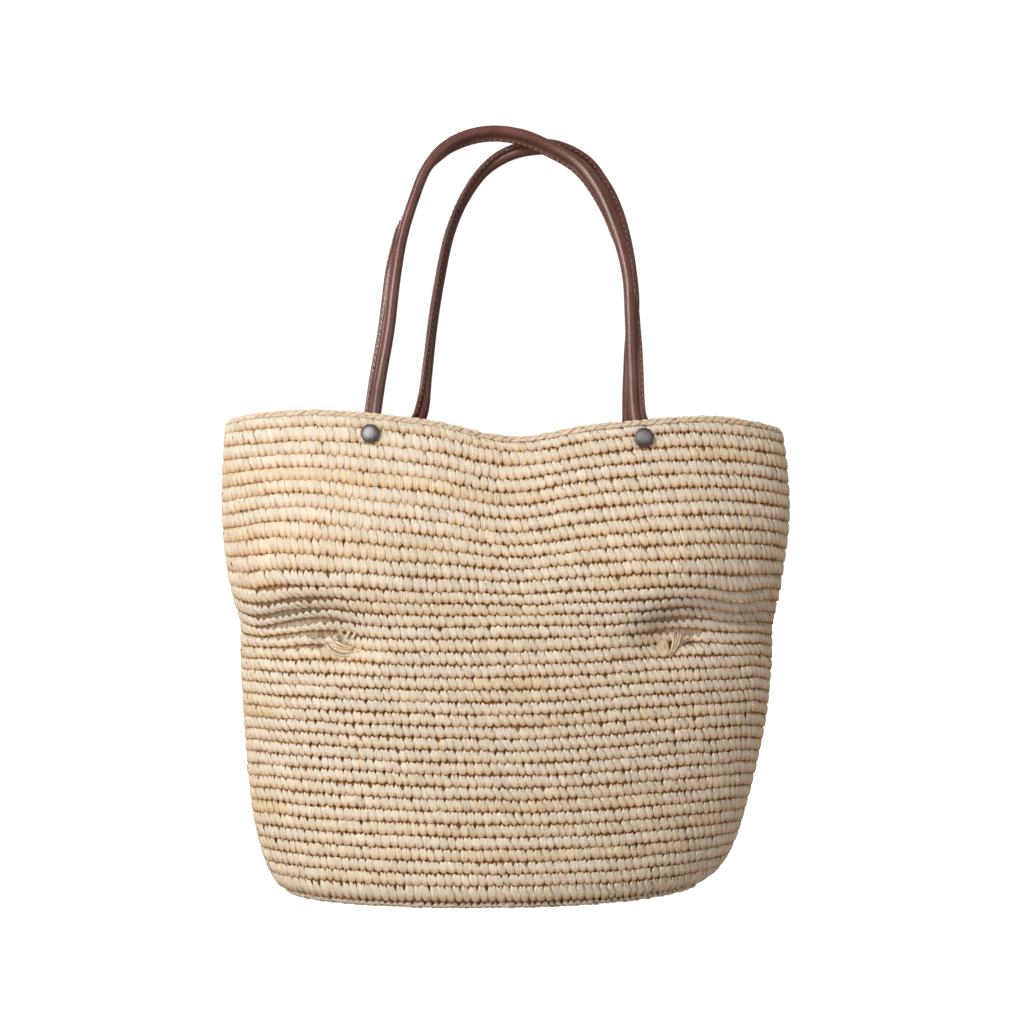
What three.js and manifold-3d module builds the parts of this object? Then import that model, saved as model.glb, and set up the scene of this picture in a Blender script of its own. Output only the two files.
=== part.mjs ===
// A crocheted raffia tote bag with two rolled leather handles.
// Millimetres, +Z up. The origin is the middle of the bag's outline, on the surface that it stands on.
// The front faces -Y, and +X is to the right as seen from the front.

import * as THREE from "three";
import { mergeVertices } from "three/addons/utils/BufferGeometryUtils.js";
import Module from "manifold-3d";

const wasm = await Module();
wasm.setup();

// Driving dimensions of the crocheted body
const HALF_WIDTH = 198; // widest half of the body, just under the rim
const HALF_DEPTH = 84; // deepest half of the body, before its folds
const BODY_HEIGHT = 318; // base to the top of the last crocheted row, at the sides
const WALL = 5; // crocheted raffia, two strands thick
const RIM_SLOPE_HEIGHT = 3; // the left end of the rim stands higher and the right end lower by this
const BASE_TWIST = 14; // the right end of the base lies back, and the left end forward, by this

// The chain-stitched edging along the rim
const EDGING_WIDE = 7.4;
const EDGING_TALL = 5;

// The handles: a cord rolled in leather with a sewn edge, flat where it goes into the bag
const BEAD = 7.6; // diameter of the rolled part
const SEAM_REACH = 4; // how far the sewn edge stands out of the roll
const SEAM_THICK = 2.6;
const STRAP_WIDE = 18; // the flat end inside the bag
const STRAP_THICK = 3.6;
const HANDLE_RISE = 218; // rivet to the top of the arch
const RIVET_DROP = 8; // rivet under the top of the wall
const STRAP_TAIL = 22; // strap below its rivet
const STRAP_HEAD = 5; // and above it, before it starts to roll up

// Rivets with a domed cap on both ends
const CAP_DIAMETER = 12.5;
const CAP_TALL = 3;
const CAP_EDGE = 0.9;
const INNER_CAP_DIAMETER = 10;
const INNER_CAP_TALL = 2.2;
const POST_DIAMETER = 4;

const WASHER_DIAMETER = 12.6;
const WASHER_THICK = 1.4;
const WASHER_SLIP = 1; // the washer that shows has slipped down by this

// Tufts of gathered strands, drawn through the wall to a plain knot inside
const TUFT_HEIGHT = 176; // middle of the tufts above the base
const TUFT_WIDE = 22;
const TUFT_TALL = 17;
const TUFT_DEPTH = 4;
const TUFT_NECK = 5;
const TUFT_KNOT = 10;
const TUFT_KNOT_TALL = 4;

const GAP = 0.3; // between pieces that touch
const SEAT = 0.6; // between a flat-backed piece and the faceted, curved wall

// How finely the soft forms are faceted
const COLUMNS = 64;
const ROUTE_STEPS = 2; // rings of a handle for each station of its route
const ROUND_SIDES = 14;
const ROOT_STEPS = 40; // of each search for a place on the wall

const RAFFIA = { color: 0xe3cda6, roughness: 0.75, metalness: 0 };
const LEATHER = { color: 0x4a2a22, roughness: 0.42, metalness: 0 };
const OLD_NICKEL = { color: 0x6d6a66, roughness: 0.35, metalness: 1 };

// Outline of the body by height: shares of the height, the half width to each side and the half depth.
// The last column is the exponent of the section, from 2, an ellipse, towards a box.
const PROFILE = [
  { at: 0.0, left: 0.745, right: 0.660, depth: 0.81, square: 2.15 },
  { at: 0.018, left: 0.790, right: 0.710, depth: 0.885, square: 2.15 },
  { at: 0.045, left: 0.820, right: 0.765, depth: 0.925, square: 2.15 },
  { at: 0.095, left: 0.852, right: 0.812, depth: 0.945, square: 2.2 },
  { at: 0.17, left: 0.880, right: 0.850, depth: 0.96, square: 2.3 },
  { at: 0.27, left: 0.900, right: 0.888, depth: 0.975, square: 2.35 },
  { at: 0.38, left: 0.915, right: 0.922, depth: 0.99, square: 2.4 },
  { at: 0.5, left: 0.926, right: 0.940, depth: 1.0, square: 2.4 },
  { at: 0.6, left: 0.938, right: 0.953, depth: 1.0, square: 2.4 },
  { at: 0.7, left: 0.966, right: 0.970, depth: 0.99, square: 2.35 },
  { at: 0.82, left: 0.992, right: 1.000, depth: 0.94, square: 2.3 },
  { at: 0.92, left: 0.992, right: 0.996, depth: 0.87, square: 2.3 },
  { at: 1.0, left: 0.984, right: 0.980, depth: 0.8, square: 2.25 },
];

// Folds of each face, beside the middle line or beside a tuft, at a share of the height. Push moves the wall
// out, as a share of the half depth, and lift moves its rows up, as a share of the height.
const FOLDS = {
  rimDip: { from: "middle", beside: 0.02, at: 1.0, wide: 0.18, tall: 0.22, push: -0.06, lift: -0.032 },
  shoulder: { from: "tuft", beside: 0.13, at: 1.0, wide: 0.36, tall: 0.34, push: 0, lift: 0.021 },
  bulge: { from: "tuft", beside: 0.06, at: 0.7, wide: 0.3, tall: 0.11, push: 0.11, lift: 0 },
  crease: { from: "tuft", beside: 0.16, at: 0.585, wide: 0.2, tall: 0.05, push: -0.1, lift: 0 },
  dent: { from: "tuft", beside: 0, at: 0.55, wide: 0.1, tall: 0.045, push: -0.1, lift: 0 },
};

// The two faces of the bag, with the places of the rivets and of the tufts or dents across it, as shares
// of the half width
const FACES = {
  front: { side: -1, rivets: { left: -0.452, right: 0.47 }, tufts: { left: -0.54, right: 0.535 } },
  back: { side: 1, rivets: { left: -0.348, right: 0.465 }, tufts: { left: -0.54, right: 0.535 } },
};

// Route of each arch from its left rivet to its right one. Across is a share of half the distance between
// the rivets, in is a share of the rim's distance from the middle plane, and up is a share of the rise.
// Turn is the way that the sewn edge faces: 0 is away from the middle of the arch, and 90 is to the back.
const ARCHES = {
  front: [
    { across: -0.99, in: 0.87, up: 0.07, turn: 5 },
    { across: -0.95, in: 0.83, up: 0.19, turn: 8 },
    { across: -0.89, in: 0.74, up: 0.345, turn: 12 },
    { across: -0.85, in: 0.64, up: 0.505, turn: 20 },
    { across: -0.8, in: 0.5, up: 0.645, turn: 35 },
    { across: -0.72, in: 0.38, up: 0.767, turn: 65 },
    { across: -0.63, in: 0.28, up: 0.868, turn: 100 },
    { across: -0.51, in: 0.2, up: 0.938, turn: 130 },
    { across: -0.34, in: 0.14, up: 0.983, turn: 145 },
    { across: -0.12, in: 0.1, up: 1.003, turn: 150 },
    { across: 0.12, in: 0.1, up: 0.99, turn: 150 },
    { across: 0.33, in: 0.12, up: 0.952, turn: 150 },
    { across: 0.54, in: 0.18, up: 0.896, turn: 145 },
    { across: 0.69, in: 0.28, up: 0.812, turn: 140 },
    { across: 0.82, in: 0.42, up: 0.681, turn: 120 },
    { across: 0.91, in: 0.58, up: 0.531, turn: 75 },
    { across: 0.93, in: 0.69, up: 0.384, turn: 30 },
    { across: 0.94, in: 0.77, up: 0.227, turn: 8 },
    { across: 0.96, in: 0.87, up: 0.07, turn: 5 },
  ],
  back: [
    { across: -0.9, in: 0.87, up: 0.108, turn: -40 },
    { across: -0.86, in: 0.83, up: 0.232, turn: -65 },
    { across: -0.81, in: 0.77, up: 0.396, turn: -75 },
    { across: -0.74, in: 0.66, up: 0.55, turn: -75 },
    { across: -0.64, in: 0.5, up: 0.705, turn: -75 },
    { across: -0.51, in: 0.4, up: 0.81, turn: -70 },
    { across: -0.33, in: 0.3, up: 0.895, turn: -65 },
    { across: -0.12, in: 0.2, up: 0.94, turn: -50 },
    { across: 0.08, in: 0.14, up: 0.957, turn: -40 },
    { across: 0.29, in: 0.1, up: 0.955, turn: -35 },
    { across: 0.54, in: 0.12, up: 0.915, turn: -40 },
    { across: 0.72, in: 0.2, up: 0.845, turn: -50 },
    { across: 0.87, in: 0.3, up: 0.75, turn: -60 },
    { across: 0.98, in: 0.46, up: 0.595, turn: -60 },
    { across: 1.01, in: 0.62, up: 0.46, turn: -50 },
    { across: 0.99, in: 0.77, up: 0.296, turn: -40 },
    { across: 0.98, in: 0.87, up: 0.108, turn: -20 },
  ],
};

const UP = new THREE.Vector3(0, 0, 1);
const radians = THREE.MathUtils.degToRad;
const mix = THREE.MathUtils.lerp;
const power = (value, exponent) => Math.sign(value) * Math.abs(value) ** exponent;

// Smooth value of a table's column at a share, through its rows
function column(table, name, share) {
  const last = table.length - 1;
  let i = table.findIndex((row) => row.at > share) - 1;
  if (i < 0) i = share <= table[0].at ? 0 : last - 1;
  const [p0, p1, p2, p3] = [i - 1, i, i + 1, i + 2].map((k) => table[THREE.MathUtils.clamp(k, 0, last)]);
  const span = p2.at - p1.at;
  const t = THREE.MathUtils.clamp((share - p1.at) / span, 0, 1);
  const slope = (a, b) => (b.at > a.at ? (b[name] - a[name]) / (b.at - a.at) : 0);
  const [m1, m2] = [slope(p0, p2) * span, slope(p1, p3) * span];
  const [t2, t3] = [t * t, t * t * t];
  return (2 * t3 - 3 * t2 + 1) * p1[name] + (t3 - 2 * t2 + t) * m1 +
    (3 * t2 - 2 * t3) * p2[name] + (t3 - t2) * m2;
}

// Every fold of a face with its own middle, as a share of the half width
function foldsOf(face) {
  return Object.values(FOLDS).flatMap((fold) =>
    fold.from === "middle"
      ? [{ ...fold, across: fold.beside }]
      : [
          { ...fold, across: face.tufts.left - fold.beside },
          { ...fold, across: face.tufts.right + fold.beside },
        ],
  );
}
for (const face of Object.values(FACES)) face.folds = foldsOf(face);

// Outer surface of the body. Turn is the angle about the upright axis from +X, and at is the height share.
function bodyPoint(turn, at) {
  const [c, s] = [Math.cos(turn), Math.sin(turn)];
  const bend = 2 / column(PROFILE, "square", at);
  const across = column(PROFILE, c < 0 ? "left" : "right", at) * power(c, bend);
  const back = column(PROFILE, "depth", at) * power(s, bend);
  const out = new THREE.Vector2(c / HALF_WIDTH, s / HALF_DEPTH).normalize();
  let [push, lift] = [0, -RIM_SLOPE_HEIGHT * across * at];
  for (const face of Object.values(FACES)) {
    const belongs = THREE.MathUtils.smoothstep(face.side * s, -0.4, 0.4);
    for (const fold of face.folds) {
      const near = ((across - fold.across) / fold.wide) ** 2 + ((at - fold.at) / fold.tall) ** 2;
      const share = belongs * Math.exp(-near);
      push += share * fold.push * HALF_DEPTH;
      lift += share * fold.lift * BODY_HEIGHT;
    }
  }
  return new THREE.Vector3(
    across * HALF_WIDTH + push * out.x,
    back * HALF_DEPTH + push * out.y + BASE_TWIST * across * (1 - at) ** 2,
    at * BODY_HEIGHT + lift * THREE.MathUtils.smoothstep(at, 0, 0.3),
  );
}

// Outward normal of the body's outer surface
function bodyNormal(turn, at) {
  const step = 0.01;
  const along = bodyPoint(turn + step, at).sub(bodyPoint(turn - step, at));
  const up = bodyPoint(turn, Math.min(at + step, 1)).sub(bodyPoint(turn, Math.max(at - step, 0)));
  return along.cross(up).normalize();
}

// The turn and height share where the outer surface of a face passes a place across the bag and a height
function findOnBody(face, across, height) {
  let turn = face.side * Math.acos(across / HALF_WIDTH);
  let at = height / BODY_HEIGHT;
  for (let i = 0; i < ROOT_STEPS; i++) {
    const here = bodyPoint(turn, at);
    turn -= (face.side * (across - here.x)) / HALF_WIDTH;
    at += (height - here.z) / BODY_HEIGHT;
  }
  return { turn, at };
}

// A closed mesh through rings of equal count, with a flat fan on its first and last ring
function loft(rings) {
  const count = rings[0].length;
  const points = rings.flat();
  const faces = [];
  for (let r = 0; r + 1 < rings.length; r++) {
    for (let k = 0; k < count; k++) {
      const [a, b] = [r * count + k, r * count + ((k + 1) % count)];
      faces.push(a, b, b + count, a, b + count, a + count);
    }
  }
  const middle = (ring) => ring.reduce((sum, p) => sum.add(p), new THREE.Vector3()).divideScalar(count);
  const [low, high] = [points.length, points.length + 1];
  const lastRing = (rings.length - 1) * count;
  for (let k = 0; k < count; k++) {
    const next = (k + 1) % count;
    faces.push(low, next, k, high, lastRing + k, lastRing + next);
  }
  points.push(middle(rings[0]), middle(rings[rings.length - 1]));
  return new THREE.BufferGeometry().setFromPoints(points).setIndex(faces);
}

// Geometry to solid and back, for the cuts
function solid(geometry) {
  const bare = geometry.clone();
  bare.deleteAttribute("normal");
  bare.deleteAttribute("uv");
  const merged = mergeVertices(bare, 1e-4);
  return new wasm.Manifold(
    new wasm.Mesh({
      numProp: 3,
      vertProperties: new Float32Array(merged.attributes.position.array),
      triVerts: new Uint32Array(merged.index.array),
    }),
  );
}

function geometryOf(made) {
  const mesh = made.getMesh();
  return new THREE.BufferGeometry()
    .setAttribute("position", new THREE.BufferAttribute(mesh.vertProperties, 3))
    .setIndex(new THREE.BufferAttribute(mesh.triVerts, 1));
}

// Heights of the body's rings: closer at the rounded foot and where the wall creases at the tufts
const TUFT_AT = TUFT_HEIGHT / BODY_HEIGHT;
const LEVELS = [
  ...[0, 0.018, 0.045, 0.095, 0.17, 0.27, 0.37, 0.45],
  ...[-0.05, -0.02, 0.01, 0.04, 0.08].map((beside) => TUFT_AT + beside),
  ...[0.68, 0.73, 0.78, 0.84, 0.89, 0.94, 1],
];
const FOOT_LEVELS = 2; // rings of the rounded foot that the inside passes over

// The body as one hollow solid: up the outside, over the rim, down the inside to the floor.
// Grow moves both of its sides apart, for the room that a piece on the wall keeps clear of.
function bodyShell(grow) {
  const turns = Array.from({ length: COLUMNS }, (_, k) => (k / COLUMNS) * 2 * Math.PI);
  const ringAt = (at, away) => turns.map((turn) =>
    bodyPoint(turn, at).addScaledVector(bodyNormal(turn, at).setZ(0).normalize(), away));
  const outside = LEVELS.map((at) => ringAt(at, grow));
  const inside = LEVELS.slice(FOOT_LEVELS).reverse().map((at) => ringAt(at, -WALL - grow));
  const floor = ringAt(0, 0).map((p) => p.setZ(WALL + grow));
  return solid(loft([...outside, ...inside, floor]));
}

// A place on a face, the way that the wall looks there, and the way along it to the nearer side
function spotOn(face, across, height) {
  const { turn, at } = findOnBody(face, across, height);
  const out = bodyNormal(turn, at);
  const sideways = new THREE.Vector3().crossVectors(UP, out).normalize();
  if (sideways.x * across < 0) sideways.negate();
  return { place: bodyPoint(turn, at), out, sideways };
}

function rimHeight(face, across) {
  let [near, far] = [0, Math.PI];
  for (let i = 0; i < ROOT_STEPS; i++) {
    const middle = (near + far) / 2;
    if (bodyPoint(face.side * middle, 1).x > across) near = middle;
    else far = middle;
  }
  return bodyPoint(face.side * near, 1).z;
}

for (const face of Object.values(FACES)) {
  face.rivetSpots = {};
  for (const end of ["left", "right"]) {
    const across = face.rivets[end] * HALF_WIDTH;
    face.rivetSpots[end] = spotOn(face, across, rimHeight(face, across) - RIVET_DROP);
  }
}

// Moves a geometry so that its own Y axis looks out of the wall at a spot
function setAt(geometry, spot) {
  const along = new THREE.Vector3().crossVectors(spot.out, UP).normalize();
  const basis = new THREE.Matrix4().makeBasis(along, spot.out, along.clone().cross(spot.out));
  return geometry.applyMatrix4(basis.setPosition(spot.place));
}

// A turned piece from its profile of radius and distance out of the wall
function turned(profile, spot) {
  return setAt(new THREE.LatheGeometry(profile.map(([r, y]) => new THREE.Vector2(r, y)), ROUND_SIDES), spot);
}

const rod = (radius, from, to, spot) => turned([[0, from], [radius, from], [radius, to], [0, to]], spot);

// Section of a handle, from a roll with its sewn edge to a flat strap.
// It lies across the route: the first value is towards the sewn edge, and the second across that.
function handleSection(flat) {
  const [sides, opening] = [10, 38];
  const points = Array.from({ length: sides }, (_, k) => {
    const angle = radians(mix(opening, 360 - opening, k / (sides - 1)));
    const [c, s] = [Math.cos(angle), Math.sin(angle)];
    const strap = [(power(c, 0.5) * STRAP_WIDE) / 2, (power(s, 0.3) * STRAP_THICK) / 2];
    return [mix((c * BEAD) / 2, strap[0], flat), mix((s * BEAD) / 2, strap[1], flat)];
  });
  const reach = mix(BEAD / 2 + SEAM_REACH, STRAP_WIDE / 2, flat);
  const half = mix(SEAM_THICK / 2, STRAP_THICK / 2.6, flat);
  return [...points, [reach, -half], [reach, half]];
}

// Stations at one end of a handle, from the tail of the strap to the rim
function legStations(face, end) {
  const rivet = face.rivetSpots[end];
  const across = face.rivets[end] * HALF_WIDTH;
  const tail = spotOn(face, across, rivet.place.z - STRAP_TAIL);
  const head = spotOn(face, across, rivet.place.z + STRAP_HEAD);
  const strapDepth = WALL + SEAT + STRAP_THICK / 2;
  const rimDepth = (WALL + EDGING_WIDE) / 2 + 4 * SEAT + BEAD / 2;
  const inside = (spot, depth) => spot.place.clone().addScaledVector(spot.out, -depth);
  const rim = inside(rivet, rimDepth).addScaledVector(UP, RIVET_DROP + EDGING_TALL / 2);
  return [
    { place: inside(tail, strapDepth), edge: tail.sideways, flat: 1 },
    { place: inside(rivet, strapDepth), edge: rivet.sideways, flat: 1 },
    { place: inside(head, strapDepth), edge: rivet.sideways, flat: 1 },
    { place: rim, edge: rivet.sideways, flat: 0.15 },
  ];
}

// Stations of the arch between the legs of a handle
function archStations(name, left, right) {
  const middle = left.place.clone().add(right.place).multiplyScalar(0.5);
  const half = (right.place.x - left.place.x) / 2;
  return ARCHES[name].map(({ across, up, in: inwards, turn }) => {
    const place = new THREE.Vector3(across * half, 0, up * HANDLE_RISE).add(middle).setY(inwards * middle.y);
    const edge = place.clone().sub(middle).setY(0).setLength(Math.cos(radians(turn)));
    return { place, edge: edge.setY(Math.sin(radians(turn))), flat: 0 };
  });
}

// A handle as one closed loft along its stations
function handle(name, face) {
  const [left, right] = [legStations(face, "left"), legStations(face, "right")];
  const stations = [...left, ...archStations(name, left[1], right[1]), ...right.reverse()];
  const route = new THREE.CatmullRomCurve3(stations.map((s) => s.place), false, "centripetal");
  const count = (stations.length - 1) * ROUTE_STEPS;
  const rings = Array.from({ length: count + 1 }, (_, k) => {
    const i = Math.min(Math.floor(k / ROUTE_STEPS), stations.length - 2);
    const share = k / ROUTE_STEPS - i;
    const [here, next] = [stations[i], stations[i + 1]];
    const along = route.getTangent(k / count);
    const side = along.clone().cross(here.edge.clone().lerp(next.edge, share)).normalize();
    const edge = side.clone().cross(along);
    const place = route.getPoint(k / count);
    return handleSection(mix(here.flat, next.flat, share)).map(([toEdge, toSide]) =>
      place.clone().addScaledVector(edge, toEdge).addScaledVector(side, toSide));
  });
  return loft(rings);
}

// The edging: a rounded ring along the top of the last row
function edging() {
  const sides = 8;
  const spread = 1 / Math.cos(Math.PI / sides); // the flats, and not the corners, have the named size
  const rings = Array.from({ length: COLUMNS }, (_, k) => {
    const turn = (k / COLUMNS) * 2 * Math.PI;
    const out = bodyNormal(turn, 1).setZ(0).normalize();
    const middle = bodyPoint(turn, 1).addScaledVector(out, -WALL / 2);
    middle.z += GAP + EDGING_TALL / 2;
    return Array.from({ length: sides }, (_, i) => {
      const angle = ((i + 0.5) / sides) * 2 * Math.PI;
      return middle.clone()
        .addScaledVector(out, (Math.cos(angle) * spread * EDGING_WIDE) / 2)
        .addScaledVector(UP, (Math.sin(angle) * spread * EDGING_TALL) / 2);
    });
  });
  const faces = [];
  for (let r = 0; r < COLUMNS; r++) {
    for (let i = 0; i < sides; i++) {
      const [here, beside] = [r * sides, ((r + 1) % COLUMNS) * sides];
      const [a, b, c, d] = [here + i, here + ((i + 1) % sides), beside + i, beside + ((i + 1) % sides)];
      faces.push(a, d, b, a, c, d);
    }
  }
  return new THREE.BufferGeometry().setFromPoints(rings.flat()).setIndex(faces);
}

// A rivet: its inner cap on the strap, its post, and its domed cap on the washer
function rivet(spot) {
  const inner = -WALL - 2 * SEAT - STRAP_THICK;
  const outer = SEAT + WASHER_THICK + GAP;
  const [wide, narrow, post] = [CAP_DIAMETER / 2, INNER_CAP_DIAMETER / 2, POST_DIAMETER / 2];
  return turned([
    [0, inner - INNER_CAP_TALL],
    [narrow * 0.7, inner - INNER_CAP_TALL * 0.8],
    [narrow, inner],
    [post, inner],
    [post, outer],
    [wide, outer],
    [wide, outer + CAP_EDGE],
    [wide * 0.84, outer + CAP_TALL * 0.68],
    [wide * 0.5, outer + CAP_TALL * 0.92],
    [0, outer + CAP_TALL],
  ], spot);
}

function washer(spot, slip) {
  const [hole, wide] = [POST_DIAMETER / 2 + GAP + slip, WASHER_DIAMETER / 2];
  const [from, to] = [SEAT, SEAT + WASHER_THICK];
  return turned([[hole, from], [wide, from], [wide, to], [hole, to], [hole, from]], spot)
    .translate(0, 0, -slip);
}

// A tuft: a low mound of strands on the wall, a neck through it, and a plain knot inside
function tuft(spot, clearWall) {
  const mound = new THREE.SphereGeometry(1, ROUND_SIDES, 8)
    .scale(TUFT_WIDE / 2, TUFT_DEPTH, TUFT_TALL / 2);
  const outside = solid(setAt(mound, spot)).subtract(clearWall).decompose();
  const reach = (made) => new THREE.Vector3(...made.boundingBox().max).dot(spot.out);
  outside.sort((a, b) => reach(b) - reach(a));
  const back = -WALL - SEAT;
  const neck = solid(rod(TUFT_NECK / 2, back - 1, TUFT_DEPTH / 2, spot));
  const knot = solid(turned([
    [0, back - TUFT_KNOT_TALL],
    [TUFT_KNOT * 0.35, back - TUFT_KNOT_TALL * 0.8],
    [TUFT_KNOT / 2, back - TUFT_KNOT_TALL * 0.3],
    [TUFT_KNOT / 2, back],
    [0, back],
  ], spot));
  return geometryOf(outside[0].add(neck).add(knot));
}

const bag = new THREE.Group();
function add(name, geometry, look) {
  const mesh = new THREE.Mesh(geometry, new THREE.MeshStandardMaterial(look));
  mesh.name = name;
  bag.add(mesh);
}

const holeAt = (spot, diameter) => solid(rod(diameter / 2 + GAP, -3 * WALL, 2 * WALL, spot));

let wall = bodyShell(0);
const clearWall = bodyShell(GAP);
for (const [name, face] of Object.entries(FACES)) {
  let leather = solid(handle(name, face));
  for (const end of ["left", "right"]) {
    const spot = face.rivetSpots[end];
    const hole = holeAt(spot, POST_DIAMETER);
    wall = wall.subtract(hole);
    leather = leather.subtract(hole);
    const slip = name === "front" && end === "right" ? WASHER_SLIP : 0;
    add(`rivet_${name}_${end}`, rivet(spot), OLD_NICKEL);
    add(`washer_${name}_${end}`, washer(spot, slip), LEATHER);
  }
  add(`handle_${name}`, geometryOf(leather), LEATHER);
}
for (const end of ["left", "right"]) {
  const spot = spotOn(FACES.front, FACES.front.tufts[end] * HALF_WIDTH, TUFT_HEIGHT);
  wall = wall.subtract(holeAt(spot, TUFT_NECK));
  add(`tuft_${end}`, tuft(spot, clearWall), RAFFIA);
}
add("crocheted_body", geometryOf(wall), RAFFIA);
add("rim_edging", edging(), RAFFIA);

export default bag;
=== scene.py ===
# A crocheted raffia tote with two rolled leather handles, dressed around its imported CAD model.
# Lengths are in millimetres until a mesh is made, in the CAD model's frame. The front faces -Y.

import math

import bmesh
import bpy
import numpy as np
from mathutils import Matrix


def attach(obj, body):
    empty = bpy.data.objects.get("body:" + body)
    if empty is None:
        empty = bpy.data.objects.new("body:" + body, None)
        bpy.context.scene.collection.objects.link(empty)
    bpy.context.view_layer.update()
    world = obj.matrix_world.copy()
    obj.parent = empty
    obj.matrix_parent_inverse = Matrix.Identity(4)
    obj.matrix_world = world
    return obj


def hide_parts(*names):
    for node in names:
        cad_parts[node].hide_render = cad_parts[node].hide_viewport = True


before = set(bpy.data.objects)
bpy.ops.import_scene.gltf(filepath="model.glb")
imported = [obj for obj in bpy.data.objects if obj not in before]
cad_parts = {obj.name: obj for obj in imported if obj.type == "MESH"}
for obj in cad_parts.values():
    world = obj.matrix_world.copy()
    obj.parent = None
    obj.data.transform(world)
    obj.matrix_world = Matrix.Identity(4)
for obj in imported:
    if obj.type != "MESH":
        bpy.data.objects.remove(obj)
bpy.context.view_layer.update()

MM = 0.001  # metres in a millimetre
TURN = 2 * math.pi

# The crocheted body, as in the CAD solid
HALF_WIDTH = 198.0
HALF_DEPTH = 84.0
BODY_HEIGHT = 318.0
WALL = 5.0
RIM_SLOPE_HEIGHT = 3.0
BASE_TWIST = 14.0

# Shares of the height, of the half width to each side and of the half depth, and the section's exponent
PROFILE = np.array([
    (0.0, 0.745, 0.66, 0.81, 2.15),
    (0.018, 0.79, 0.71, 0.885, 2.15),
    (0.045, 0.82, 0.765, 0.925, 2.15),
    (0.095, 0.852, 0.812, 0.945, 2.2),
    (0.17, 0.88, 0.85, 0.96, 2.3),
    (0.27, 0.9, 0.888, 0.975, 2.35),
    (0.38, 0.915, 0.922, 0.99, 2.4),
    (0.5, 0.926, 0.94, 1.0, 2.4),
    (0.6, 0.938, 0.953, 1.0, 2.4),
    (0.7, 0.966, 0.97, 0.99, 2.35),
    (0.82, 0.992, 1.0, 0.94, 2.3),
    (0.92, 0.992, 0.996, 0.87, 2.3),
    (1.0, 0.984, 0.98, 0.8, 2.25),
])
LEFT, RIGHT, DEPTH, SQUARE = 1, 2, 3, 4

# The tufts' places across the bag, as shares of the half width
TUFTS = {"left": -0.54, "right": 0.535}
TUFT_HEIGHT = 176.0

# Folds of each face: beside a tuft or the middle, height, width and tallness, push out and lift of the rows
MIDDLE_FOLD = (0.02, 1.0, 0.18, 0.22, -0.06, -0.032)
TUFT_FOLDS = [
    (0.13, 1.0, 0.36, 0.34, 0.0, 0.021),
    (0.06, 0.7, 0.3, 0.11, 0.11, 0.0),
    (0.16, 0.585, 0.2, 0.05, -0.1, 0.0),
    (0.0, 0.55, 0.1, 0.045, -0.1, 0.0),
]
# Lifts of the rows on the front alone, in millimetres, where the crochet has sagged or pulled up: across,
# height, width and tallness as shares, and the lift
ROW_LIFTS = [
    (0.64, 0.4, 0.42, 0.27, 6.2), (0.95, 0.45, 0.16, 0.25, 3.0), (-0.75, 0.25, 0.6, 0.2, 3.8),
    (-0.72, 0.8, 0.2, 0.1, 4.2), (0.8, 0.8, 0.2, 0.12, 2.2), (-0.86, 0.62, 0.11, 0.06, -4.5),
    (-0.6, 0.58, 0.11, 0.06, 3.5), (0.8, 0.65, 0.11, 0.06, -4.0), (0.6, 0.58, 0.14, 0.06, 3.0),
    (0.05, 0.57, 0.35, 0.06, 2.2), (0.03, 0.78, 0.2, 0.07, -2.2), (-0.55, 1.0, 0.6, 0.018, 2.4),
    (0.0, 0.98, 0.13, 0.04, 2.2), (0.28, 0.96, 0.18, 0.04, -1.6), (0.75, 1.0, 0.2, 0.018, 2.2),
]
FOLDS = [MIDDLE_FOLD]
for across in TUFTS.values():
    FOLDS += [(across + math.copysign(f[0], across), *f[1:]) for f in TUFT_FOLDS]

# The handles and rivets, as in the CAD solids
RIVETS = {"front": (-0.452, 0.47), "back": (-0.348, 0.465)}
SIDES = {"front": -1, "back": 1}
BEAD = 7.6  # diameter of the handle's roll
SEAM_REACH = 4.0  # of the sewn edge, out from the roll
SEAM_THICK = 2.6
STRAP_WIDE = 18.0
STRAP_THICK = 3.6
HANDLE_RISE = 218.0
RIVET_DROP = 8.0
STRAP_TAIL = 22.0
STRAP_HEAD = 5.0
EDGING_WIDE = 7.4
EDGING_TALL = 5.0
GAP = 0.3  # under the cap
SEAT = 0.6  # between the wall and what is riveted to it
CAP_DIAMETER = 12.5
CAP_TALL = 3.0
WASHER_DIAMETER = 12.6
WASHER_THICK = 1.4
WASHER_SLIP = 1.0

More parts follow.
